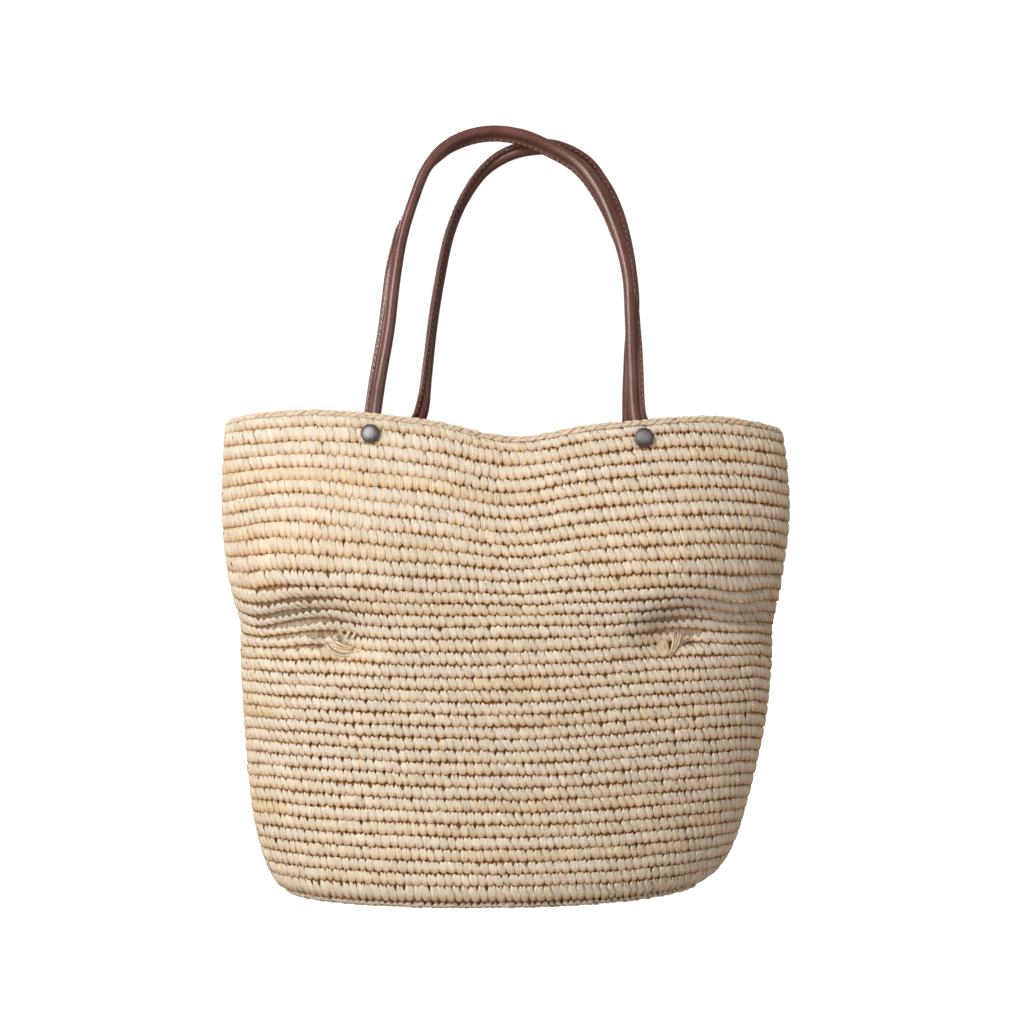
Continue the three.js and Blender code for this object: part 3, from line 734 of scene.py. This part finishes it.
def tuft_strands(end):
    """The strands of a tuft, each split in two along its length."""
    rng = np.random.default_rng(len(end))
    spot = TUFT_SPOTS[end]
    steps = np.linspace(0, 1, 13)
    arch = 4 * steps * (1 - steps)
    parts = []
    for start, finish, bow, stands, wide in TUFT_STRANDS[end]:
        for split in (-0.5, 0.5):
            start = np.array(start) + rng.normal(0, 0.25, 2)
            finish = np.array(finish) + rng.normal(0, 0.4, 2)
            way = unit(finish - start)
            beside = np.array([-way[1], way[0]])
            flat = start + (finish - start) * steps[:, None]
            flat = flat + beside * (bow * arch + split * wide * SPLIT_APART)[:, None]
            out = mix(TUFT_ROOTS[end], 0.0, steps) + (stands - 0.4 + rng.normal(0, 0.6)) * arch**0.45
            path = spot["place"] + flat[:, :1] * spot["right"] + flat[:, 1:] * spot["up"]
            path = path + out[:, None] * spot["out"]
            body = rounded(2 * steps - 1, 5) * wide * SPLIT_WIDE
            parts.append(one_tube(path, spot["out"], body, body * 0.9, 8))
    return parts


def tuft_knot(end):
    """The plain knot inside the bag: short loops wound around the neck of the tuft."""
    spot = TUFT_SPOTS[end]
    angle = np.linspace(0, 2.6 * TURN, 60)
    radius = 3.2 - 0.3 * np.cos(angle * 0.5)
    depth = -WALL - 1.6 - 2.0 * angle / angle[-1]
    path = (
        spot["place"] + (np.cos(angle) * radius)[:, None] * spot["right"]
        + (np.sin(angle) * radius)[:, None] * spot["up"] + depth[:, None] * spot["out"]
    )
    body = rounded(np.linspace(-1, 1, len(angle)), 12) * 1.2
    steps = np.linspace(0, 1, 6)
    neck = spot["place"] + (2.0 - (WALL + 5.2) * steps)[:, None] * spot["out"]
    neck_body = rounded(2 * steps - 1, 8) * 2.2
    return [
        one_tube(path, spot["out"], body, body, 7),
        one_tube(neck, spot["right"], neck_body, neck_body, 10),
    ]


# ---- Handles ----

ROUTE_STEPS = 7  # rings for each station
BEAD_POINTS = 18
BEAD_OPENING = 30.0  # half the angle of the roll's opening, where the sewn edge leaves it
SECTION_STEP = 1.3  # millimetres of the strand layer for each point of the section


def section_points(flat):
    """Section of a handle at a flatness, from a roll with its sewn edge, 0, to a flat strap, 1."""
    around = np.linspace(BEAD_OPENING, 360 - BEAD_OPENING, BEAD_POINTS)
    angle = np.radians(around)
    roll = np.stack([np.cos(angle), np.sin(angle)], -1) * BEAD / 2
    reach, half = BEAD / 2 + SEAM_REACH, SEAM_THICK / 2
    neck = BEAD / 2 * math.cos(math.radians(BEAD_OPENING))
    lower = np.array([
        (neck + 0.5, -half * 0.72), (neck + 1.1, -half * 0.95), (reach - 0.5, -half),
        (reach - 0.1, -half * 0.72), (reach, -half * 0.3), (reach - 0.25, 0.0),
    ])
    seam = np.concatenate([lower, (lower * [1, -1])[-2::-1]])
    rolled = np.concatenate([roll, seam])
    rest = np.linspace(-BEAD_OPENING, BEAD_OPENING, len(seam) + 2)[1:-1]
    turn = np.radians(np.r_[around, rest])
    strap = np.stack([
        power(np.cos(turn), 0.5) * STRAP_WIDE / 2,
        power(np.sin(turn), 0.35) * STRAP_THICK / 2,
    ], -1)
    return mix(rolled, strap, flat[:, None, None])


def leg_stations(face, end):
    """Place, edge way and flatness of the stations from the tail of the strap to the rim."""
    side = SIDES[face]
    rivet = RIVET_SPOTS[face, end]
    across = RIVETS[face][end == "right"] * HALF_WIDTH
    tail = spot_on(side, across, rivet["place"][2] - STRAP_TAIL)
    head = spot_on(side, across, rivet["place"][2] + STRAP_HEAD)
    strap_depth = WALL + SEAT + STRAP_THICK / 2
    rim_depth = (WALL + EDGING_WIDE) / 2 + 4 * SEAT + BEAD / 2
    rim = rivet["place"] - rivet["out"] * rim_depth + UP * (RIVET_DROP + EDGING_TALL / 2)
    return [
        (tail["place"] - tail["out"] * strap_depth, tail["sideways"], 1),
        (rivet["place"] - rivet["out"] * strap_depth, rivet["sideways"], 1),
        (head["place"] - head["out"] * strap_depth, rivet["sideways"], 1),
        (rim, rivet["sideways"], 0.15),
    ]


def arch_stations(face, left, right):
    """Place, edge way and flatness of the stations of the arch between the two rivets."""
    middle, half = (left + right) / 2, (right[0] - left[0]) / 2
    stations = []
    for across, inwards, up, turn in ARCHES[face]:
        place = middle + [across * half, 0, up * HANDLE_RISE]
        place[1] = inwards * middle[1]
        edge = unit((place - middle) * [1, 0, 1]) * math.cos(math.radians(turn))
        edge[1] = math.sin(math.radians(turn))
        stations.append((place, edge, 0))
    return stations


def centripetal(points, steps):
    """Points along a centripetal Catmull-Rom curve through the given ones."""
    ends = [2 * points[0] - points[1], *points, 2 * points[-1] - points[-2]]
    made = []
    t = (np.arange(steps) / steps)[:, None]
    for p0, p1, p2, p3 in zip(ends, ends[1:], ends[2:], ends[3:]):
        d0, d1, d2 = (math.sqrt(np.linalg.norm(b - a)) for a, b in ((p0, p1), (p1, p2), (p2, p3)))
        m1 = ((p1 - p0) / d0 - (p2 - p0) / (d0 + d1) + (p2 - p1) / d1) * d1
        m2 = ((p2 - p1) / d1 - (p3 - p1) / (d1 + d2) + (p3 - p2) / d2) * d1
        square, cube = -3 * p1 + 3 * p2 - 2 * m1 - m2, 2 * p1 - 2 * p2 + m1 + m2
        made.append(p1 + m1 * t + square * t**2 + cube * t**3)
    return np.concatenate([*made, points[-1:]])


def handle_route(face):
    """Places, ways to the sewn edge, ways across it and flatness along a handle."""
    left, right = leg_stations(face, "left"), leg_stations(face, "right")
    stations = left + arch_stations(face, left[1][0], right[1][0]) + right[::-1]
    places = centripetal(np.array([s[0] for s in stations]), ROUTE_STEPS)
    share = np.arange(len(places)) / ROUTE_STEPS
    index = np.arange(len(stations))
    blend = np.floor(share) + smooth(share % 1, 0, 1)
    edge = interp_points(blend, index, np.array([s[1] for s in stations]))
    flat = np.interp(blend, index, [s[2] for s in stations])
    along = unit(np.gradient(places, axis=0))
    side = unit(np.cross(along, edge))
    return places, np.cross(side, along), side, flat


def handle_mesh(face):
    places, edge, side, flat = handle_route(face)
    section = section_points(flat)
    rings = places[:, None] + section[..., :1] * edge[:, None] + section[..., 1:] * side[:, None]
    tail, head = tapered_end(rings[0], rings[1]), tapered_end(rings[-1], rings[-2])
    rings = np.concatenate([tail[::-1], rings, head])
    across = np.arange(rings.shape[1]) * SECTION_STEP
    v, u = np.meshgrid(arcs_of(rings.mean(1)), across, indexing="ij")
    return sheet(rings, u, v)


def tapered_end(ring, before):
    """Two rings that round and close the cut end of a strap."""
    middle = ring.mean(0)
    way = unit(middle - before.mean(0))
    return np.stack([mix(middle, ring, 0.86) + way * 0.5, mix(middle, ring, 0.002) + way * 0.5])


THREAD_PITCH = 4.3
THREAD_LENGTH = 3.3
THREAD_HALF = 0.36  # half the thickness of the thread
THREAD_ROW = BEAD / 2 + 2.5  # from the middle of the roll to the row of thread


def handle_thread(face):
    """Stitches along both sides of the sewn edge."""
    places, edge, side, flat = handle_route(face)
    sewn = flat < 0.05
    places, edge, side = places[sewn], edge[sewn], side[sewn]
    row = places + edge * THREAD_ROW
    arcs = arcs_of(row)
    starts = np.arange(THREAD_PITCH, arcs[-1] - THREAD_PITCH, THREAD_PITCH)
    steps = np.linspace(0, 1, 7)
    arc = starts[:, None] + steps * THREAD_LENGTH
    at, to_edge = interp_points(arc, arcs, row), interp_points(arc, arcs, edge)
    thick = np.broadcast_to(rounded(2 * steps - 1, 6) * THREAD_HALF, arc.shape)
    height = SEAM_THICK / 2 + 0.22 - 0.75 * np.abs(2 * steps - 1) ** 3
    parts = []
    for face_side in (-1, 1):
        out = unit(interp_points(arc, arcs, side)) * face_side
        path = at + out * height[:, None] + to_edge * ((steps - 0.5) * 0.5)[:, None]
        parts.append(tubes(path, out, thick * 1.15, thick, 6))
    points, faces, uv = join(parts)
    return points, faces, {"strand": uv}


# ---- Rivets and washers ----

CAP_EDGE = 0.75  # height of the cap's upright edge
INNER_RADIUS, INNER_TALL = 5.0, 2.2  # of the cap inside the bag
SHANK_RADIUS = 2.0
HOLE_RADIUS = 2.3  # of a washer


def turned(profile, spot, sides=40):
    """A piece turned about the way out of the wall, from its profile of radius and distance out."""
    profile = np.array(profile)
    angle = np.arange(sides) / sides * TURN
    around = np.cos(angle)[:, None] * spot["right"] + np.sin(angle)[:, None] * spot["up"]
    points = spot["place"] + profile[:, :1, None] * around + profile[:, 1:, None] * spot["out"]
    wear = np.repeat(np.clip(1 - profile[:, 0] / profile[:, 0].max(), 0, 1), sides)
    faces = grid_faces(len(profile), sides, closed=True)
    return points.reshape(-1, 3), faces, {"dye": np.repeat(wear[:, None], 3, axis=1)}


def rivet_mesh(spot):
    inner = -WALL - 2 * SEAT - STRAP_THICK
    outer = SEAT + WASHER_THICK + GAP
    radius = CAP_DIAMETER / 2
    dome = np.radians(np.linspace(4, 88, 12))
    cap = [
        (radius * math.cos(a), outer + CAP_EDGE + (CAP_TALL - CAP_EDGE) * math.sin(a)) for a in dome
    ]
    inner_cap = [(INNER_RADIUS * math.cos(a), inner - INNER_TALL * math.sin(a)) for a in dome[::-1]]
    return turned([
        *inner_cap,
        (INNER_RADIUS, inner + 0.1), (INNER_RADIUS - 0.4, inner + 0.25),
        (SHANK_RADIUS, inner + 0.25), (SHANK_RADIUS, outer), (radius - 0.6, outer - 0.1),
        (radius - 0.1, outer + 0.15), (radius, outer + 0.5),
        *cap,
    ], spot)


def washer_mesh(spot, slip):
    """A leather washer, slipped down a little from the middle of its rivet."""
    hole, wide = HOLE_RADIUS + slip, WASHER_DIAMETER / 2
    low, high = SEAT, SEAT + WASHER_THICK
    points, faces, _ = turned([
        (hole, low + 0.2), (hole + 0.3, low), (wide - 0.35, low), (wide, low + 0.35),
        (wide, high - 0.4), (wide - 0.35, high), (hole + 0.3, high), (hole, high - 0.2),
        (hole, low + 0.2),
    ], spot)
    return points - UP * slip, faces, {}


# ---- Materials ----

# Raffia: the plain strand, paler and more golden ones, painted warm shade for the ends of stitches, and
# painted shade for the depth of the wall
CREAM = (0.84, 0.735, 0.585)
PALE = (0.91, 0.86, 0.78)
HONEY = (0.78, 0.54, 0.26)
PAINTED_SHADE_ORANGE = (0.58, 0.24, 0.015)
SHADE = (0.4, 0.18, 0.05)
OPEN_SHADE = (0.5, 0.43, 0.345)
DARK_SHADE = (0.2, 0.11, 0.05)
LEATHER_DARK = (0.085, 0.028, 0.022)
LEATHER_LIGHT = (0.135, 0.048, 0.038)
LEATHER_PORES = (0.18, 0.085, 0.065)
THREAD_DARK = (0.22, 0.1, 0.055)
THREAD_LIGHT = (0.4, 0.22, 0.13)
NICKEL_DULL = (0.145, 0.138, 0.134)
NICKEL_WORN = (0.28, 0.28, 0.29)
FLOOR_DARK = (0.78, 0.78, 0.78)
FLOOR_LIGHT = (0.82, 0.82, 0.82)
BLACK, WHITE = (0, 0, 0), (1, 1, 1)


class Look:
    """A material that is put together node by node. Each method gives an output to use in the next."""

    def __init__(self, name):
        self.material = bpy.data.materials.new(name)
        self.material.use_nodes = True
        self.tree = self.material.node_tree

    def put(self, socket, value):
        """Sets a socket to a number or a colour, or links it."""
        if isinstance(value, bpy.types.NodeSocket):
            self.tree.links.new(value, socket)
        else:
            socket.default_value = (*value, 1) if socket.type == "RGBA" else value

    def node(self, kind, inputs, output=0, **settings):
        made = self.tree.nodes.new("ShaderNode" + kind)
        for key, value in settings.items():
            setattr(made, key, value)
        for key, value in inputs.items():
            self.put(made.inputs[key], value)
        return made.outputs[output]

    def times(self, a, b):
        return self.node("Math", {0: a, 1: b}, operation="MULTIPLY")

    def plus(self, a, b):
        return self.node("Math", {0: a, 1: b}, operation="ADD")

    def mix(self, share, a, b, blend_type="MIX"):
        return self.node("Mix", {0: share, 6: a, 7: b}, 2, data_type="RGBA", blend_type=blend_type)

    def ramp(self, value, start, end):
        """How far a value is from start to end, smoothed, from 0 to 1."""
        limits = {1: start, 2: end, 3: 0.0, 4: 1.0}
        return self.node("MapRange", {0: value, **limits}, interpolation_type="SMOOTHSTEP")

    def dye(self, output=0):
        return self.node("Attribute", {}, output, attribute_name="dye")

    def place(self):
        return self.node("TexCoord", {}, "Object")

    def noise(self, vector, scale, detail):
        return self.node("TexNoise", {"Vector": vector, "Scale": scale, "Detail": detail})

    def strand_noise(self, across, along, detail=4.0):
        """Noise in millimetres of the strand layer: its size across the strand, and along it."""
        uv = self.node("UVMap", {}, uv_map="strand")
        return self.noise(self.node("Mapping", {0: uv, 3: (1 / across, 1 / along, 1)}), 1.0, detail)

    def finish(self, inputs, height=None, distance=0.0):
        """The material, with the shader's inputs set, and its relief, of a distance in millimetres."""
        shader = self.tree.nodes["Principled BSDF"]
        for name, value in inputs.items():
            self.put(shader.inputs[name], value)
        if height is not None:
            bump = {"Height": height, "Distance": distance * MM, "Strength": 1.0}
            self.put(shader.inputs["Normal"], self.node("Bump", bump))
        return self.material


def raffia_material():
    look = Look("raffia")
    # The colour layer's channels: painted warm shade, lightness with painted shade, and tone with painted
    # warm light
    edge, light, tone = look.node("SeparateColor", {0: look.dye()}).node.outputs
    streaks = look.strand_noise(0.8, 9.0)
    fibres = look.strand_noise(0.16, 5.0, 2.0)
    blotches = look.strand_noise(5.0, 9.0, 2.0)
    colour = look.mix(look.ramp(tone, 0.5, 1.0), CREAM, HONEY)
    colour = look.mix(look.ramp(tone, 0.5, 0.1), colour, PALE)
    colour = look.mix(look.times(look.ramp(streaks, 0.45, 0.7), 0.6), colour, HONEY)
    colour = look.mix(look.times(look.ramp(fibres, 0.4, 0.65), 0.45), colour, PALE)
    # Painted warm shade at the ends and in the crevices of stitches and links
    colour = look.mix(look.times(edge, look.plus(blotches, 0.3)), colour, PAINTED_SHADE_ORANGE)
    # The lightness, with its painted shade, multiplies the colour
    bright = look.plus(look.times(light, 0.5), 0.72)
    grey = look.node("CombineColor", {0: bright, 1: bright, 2: bright})
    colour = look.mix(1.0, colour, grey, "MULTIPLY")
    rough = look.plus(look.times(fibres, 0.3), 0.42)
    height = look.plus(streaks, look.times(fibres, 0.4))
    return look.finish({"Base Color": colour, "Roughness": rough}, height, 1.35)


def shaded_raffia_material():
    """The strands in the depth of the wall, coloured as painted shade: darker and browner than the stitches.
    """
    look = Look("raffia_painted_shade")
    streaks = look.strand_noise(0.8, 14.0)
    fibres = look.strand_noise(0.3, 8.0, 2.0)
    colour = look.mix(look.dye(2), SHADE, OPEN_SHADE)
    colour = look.mix(look.times(look.ramp(streaks, 0.52, 0.4), 0.8), colour, DARK_SHADE)
    colour = look.mix(look.times(look.ramp(fibres, 0.4, 0.7), 0.2), colour, HONEY)
    height = look.plus(streaks, look.times(fibres, 0.3))
    return look.finish({"Base Color": colour, "Roughness": 0.7}, height, 0.8)


def leather_material():
    look = Look("leather")
    place = look.place()
    grain = look.node("TexVoronoi", {"Vector": place, "Scale": 1300.0}, feature="DISTANCE_TO_EDGE")
    pores = look.noise(place, 900.0, 3.0)
    clouds = look.noise(place, 60.0, 4.0)
    wrinkles = look.strand_noise(9.0, 1.2, 3.0)
    colour = look.mix(look.ramp(clouds, 0.3, 0.7), LEATHER_DARK, LEATHER_LIGHT)
    colour = look.mix(look.times(pores, 0.25), colour, LEATHER_PORES)
    rough = look.plus(look.times(clouds, 0.16), 0.22)
    fine = look.plus(look.times(look.ramp(grain, 0.0, 0.12), 0.25), pores)
    height = look.plus(look.times(fine, 0.3), wrinkles)
    coat = {"Coat Weight": 0.12, "Coat Roughness": 0.25}
    return look.finish({"Base Color": colour, "Roughness": rough, **coat}, height, 0.12)


def thread_material():
    look = Look("thread")
    twist = look.strand_noise(0.5, 0.7, 1.0)
    colour = look.mix(look.ramp(twist, 0.35, 0.65), THREAD_DARK, THREAD_LIGHT)
    return look.finish({"Base Color": colour, "Roughness": 0.6}, twist, 0.15)


def nickel_material():
    look = Look("old_nickel")
    place = look.place()
    spots = look.noise(place, 500.0, 5.0)
    scratches = look.noise(place, 1500.0, 3.0)
    worn = look.ramp(look.plus(look.dye(2), look.times(spots, 0.6)), 0.45, 1.0)
    colour = look.mix(worn, NICKEL_DULL, NICKEL_WORN)
    rough = look.plus(look.times(spots, 0.3), 0.42)
    return look.finish({"Base Color": colour, "Roughness": rough, "Metallic": 1.0}, scratches, 0.05)


def floor_material():
    """A white floor that glows a little, more so away from the bag, so that it meets the backdrop unseen."""
    look = Look("floor")
    place = look.place()
    colour = look.mix(look.noise(place, 90.0, 2.0), FLOOR_DARK, FLOOR_LIGHT)
    away = look.node("VectorMath", {0: place}, "Value", operation="LENGTH")
    glow = look.plus(look.times(look.ramp(away, 0.2, 0.6), 0.1), 0.92)
    light = {"Emission Color": WHITE, "Emission Strength": glow}
    return look.finish({"Base Color": colour, "Roughness": 0.9, **light})


def backdrop_material():
    light = {"Emission Color": WHITE, "Emission Strength": 1.05}
    return Look("backdrop").finish({"Base Color": BLACK, **light})


# ---- Camera, lights and stage ----

CAMERA_PLACE = (0.005, -1.25, 0.264)  # metres
LENS, SENSOR = 62.33, 36
LIT_PLACE = (0, 0, 0.2)  # what the lights point at, in metres
LIGHTS = (
    # name, place in metres, power in watts, size in metres
    ("key", (-1.25, -2.0, 1.75), 50, 1.0),
    ("left", (-2.0, -1.5, 0.5), 34, 1.6),
    ("fill", (1.6, -1.8, 0.5), 9, 1.6),
    ("back", (-0.6, 1.9, 1.4), 34, 1.4),
)
AMBIENT = 0.355
AMBIENT_COLOUR = (1, 0.885, 0.75, 1)
STAGE_REACH = 9.0  # metres


def add_stage_piece(name, mesh, material):
    """Floor or backdrop: the camera sees it, and it neither lights the bag nor shows in its gloss."""
    mesh.materials.append(material)
    piece = bpy.data.objects.new(name, mesh)
    piece.visible_diffuse = False
    piece.visible_glossy = False
    piece.visible_shadow = False
    bpy.context.scene.collection.objects.link(piece)


def make_stage():
    scene = bpy.context.scene
    camera = bpy.data.objects.new("camera", bpy.data.cameras.new("camera"))
    camera.location = CAMERA_PLACE
    camera.rotation_euler = (math.radians(90), 0, 0)
    camera.data.lens = LENS
    camera.data.sensor_width = SENSOR
    scene.collection.objects.link(camera)
    scene.camera = camera
    for name, place, power_w, size in LIGHTS:
        lamp = bpy.data.objects.new(name, bpy.data.lights.new(name, "AREA"))
        lamp.data.energy = power_w
        lamp.data.size = size
        lamp.location = place
        x, y, z = np.array(LIT_PLACE) - place
        lamp.rotation_euler = (math.atan2(math.hypot(x, y), -z), 0, math.atan2(-x, y))
        scene.collection.objects.link(lamp)
    world = bpy.data.worlds.new("studio")
    world.use_nodes = True
    world.node_tree.nodes["Background"].inputs[0].default_value = AMBIENT_COLOUR
    world.node_tree.nodes["Background"].inputs[1].default_value = AMBIENT
    scene.world = world
    scene.view_settings.view_transform = "Standard"
    floor = bpy.data.meshes.new("floor")
    corners = ((-1, -1), (1, -1), (1, 1), (-1, 1))
    floor.from_pydata([(x * STAGE_REACH, y * STAGE_REACH, 0) for x, y in corners], [], [(0, 1, 2, 3)])
    add_stage_piece("floor", floor, floor_material())
    dome = bpy.data.meshes.new("backdrop")
    maker = bmesh.new()
    bmesh.ops.create_uvsphere(maker, u_segments=48, v_segments=24, radius=STAGE_REACH * 0.98)
    bmesh.ops.reverse_faces(maker, faces=maker.faces)
    maker.to_mesh(dome)
    maker.free()
    add_stage_piece("backdrop", dome, backdrop_material())


# ---- Everything in its place ----

make_stage()
raffia = raffia_material(), "raffia"
raffia_painted_shade = shaded_raffia_material(), "raffia"
leather = leather_material(), "leather"
thread = thread_material(), "leather"
nickel = nickel_material(), "old_nickel"

foot = crochet(row_point, ROW_EDGES[:2], {**FOOT, "seed": 99})
make_piece("foot_row", foot, raffia, "crocheted_body")
for number, first in enumerate(range(1, len(ROW_EDGES) - 1, BAND)):
    rows = crochet(row_point, ROW_EDGES[first:first + BAND + 1], {**OUTSIDE, "seed": 100 + number})
    make_piece(f"wall_rows_{number + 1}", rows, raffia, "crocheted_body")
base_edges = np.linspace(0.01, 1, 9)
for name, surface, edges, looks, seed in (
    ("inside_rows", row_point, ROW_EDGES[1:], INSIDE, 7),
    ("base_rows", base_point, base_edges, BASE, 8),
    ("floor_rows", base_point, base_edges, INSIDE, 9),
):
    make_piece(name, crochet(surface, edges, {**looks, "seed": seed}), raffia)
# The strands in the depth of the wall, the base and the rim core take painted shade
make_piece("wall_strands", wall_sheet(), raffia_painted_shade)
make_piece("base_strands", base_sheet(), raffia_painted_shade)
make_piece("rim_core", rim_core(), raffia_painted_shade)
make_piece("rim_braid", rim_braid(), raffia, "rim_edging")
for end in TUFTS:
    points, faces, uv = join(tuft_strands(end) + tuft_knot(end))
    layers = {"strand": uv, "dye": np.tile(TUFT_TINT_AND_SHADE, (len(points), 1))}
    make_piece(f"strands_{end}", (points, faces, layers), raffia, f"tuft_{end}")
for face in SIDES:
    make_piece(f"rolled_handle_{face}", handle_mesh(face), leather, f"handle_{face}")
    make_piece(f"thread_{face}", handle_thread(face), thread)
for (face, end), spot in RIVET_SPOTS.items():
    make_piece(f"domed_rivet_{face}_{end}", rivet_mesh(spot), nickel, f"rivet_{face}_{end}")
    washer = washer_mesh(spot, WASHER_SLIP if (face, end) == ("front", "right") else 0)
    make_piece(f"leather_washer_{face}_{end}", washer, leather, f"washer_{face}_{end}")
